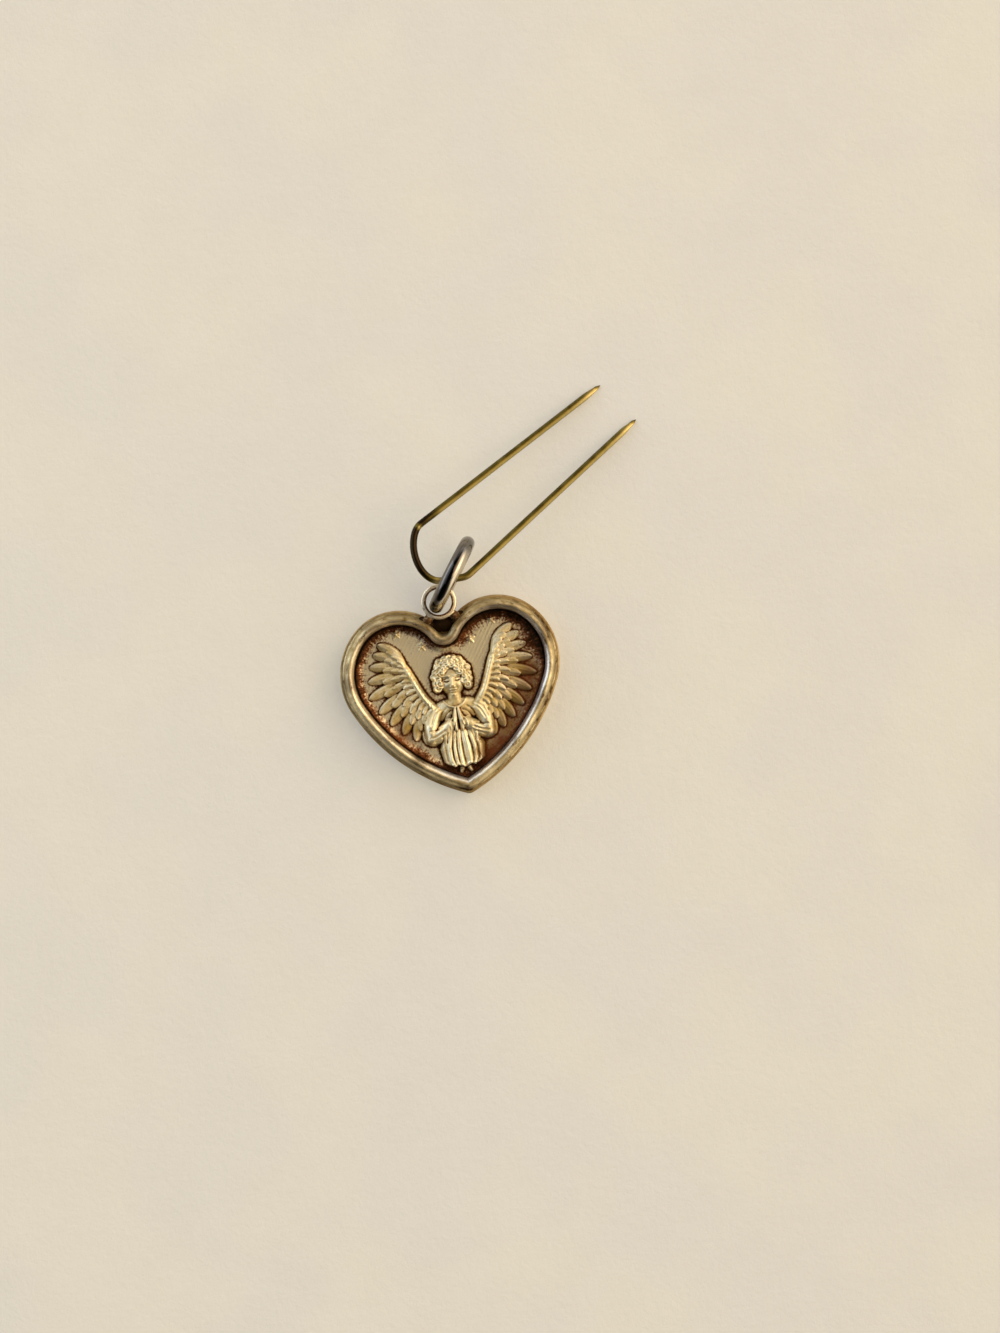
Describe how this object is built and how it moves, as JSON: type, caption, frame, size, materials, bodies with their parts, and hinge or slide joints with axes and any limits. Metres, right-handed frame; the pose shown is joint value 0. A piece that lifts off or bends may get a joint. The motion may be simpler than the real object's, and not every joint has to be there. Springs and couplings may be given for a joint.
{
  "type": "heart medal pendant",
  "caption": "Small antiqued heart medal with a praying angel in relief, a soldered lug, a jump ring through the lug and a bent wire pin through the ring.",
  "frame": {"origin": "middle of the medal's flat back, on the heart's line of symmetry", "axes": "+Z out of the medal's face, +Y towards the lug, +X to the right of the face"},
  "size_m": [0.028, 0.0319, 0.007],
  "materials": {
    "antiqued_back": "silver plated, oxidised and rubbed back, brushed",
    "antiqued_relief": "silver plated, dark patina in the recesses, worn high points",
    "antiqued_frame": "silver plated, polished by wear, brown tarnish in the grooves",
    "worn_solder": "pale worn silver solder",
    "ring_wire": "polished wire, slightly tarnished",
    "pin_wire": "drawn brass wire, olive tarnish"
  },
  "bodies": {
    "medal": {"back_plate": "antiqued_back", "relief_plaque": "antiqued_relief", "heart_frame": "antiqued_frame", "lug_ring": "worn_solder"},
    "ring": {"jump_ring": "ring_wire"},
    "pin": {"wire_pin": "pin_wire"}
  },
  "joints": [
    {"name": "ring_swing", "type": "hinge", "parent": "medal", "child": "ring", "pos_m": [0.00074, 0.00927, 0.00215], "axis": [0.8111, -0.585, 0], "range_deg": [-102, 8]},
    {"name": "pin_swing", "type": "hinge", "parent": "ring", "child": "pin", "pos_m": [0.00121, 0.00992, 0.00278], "axis": [0.9944, 0, -0.1059], "range_deg": [-30, 110]}
  ]
}
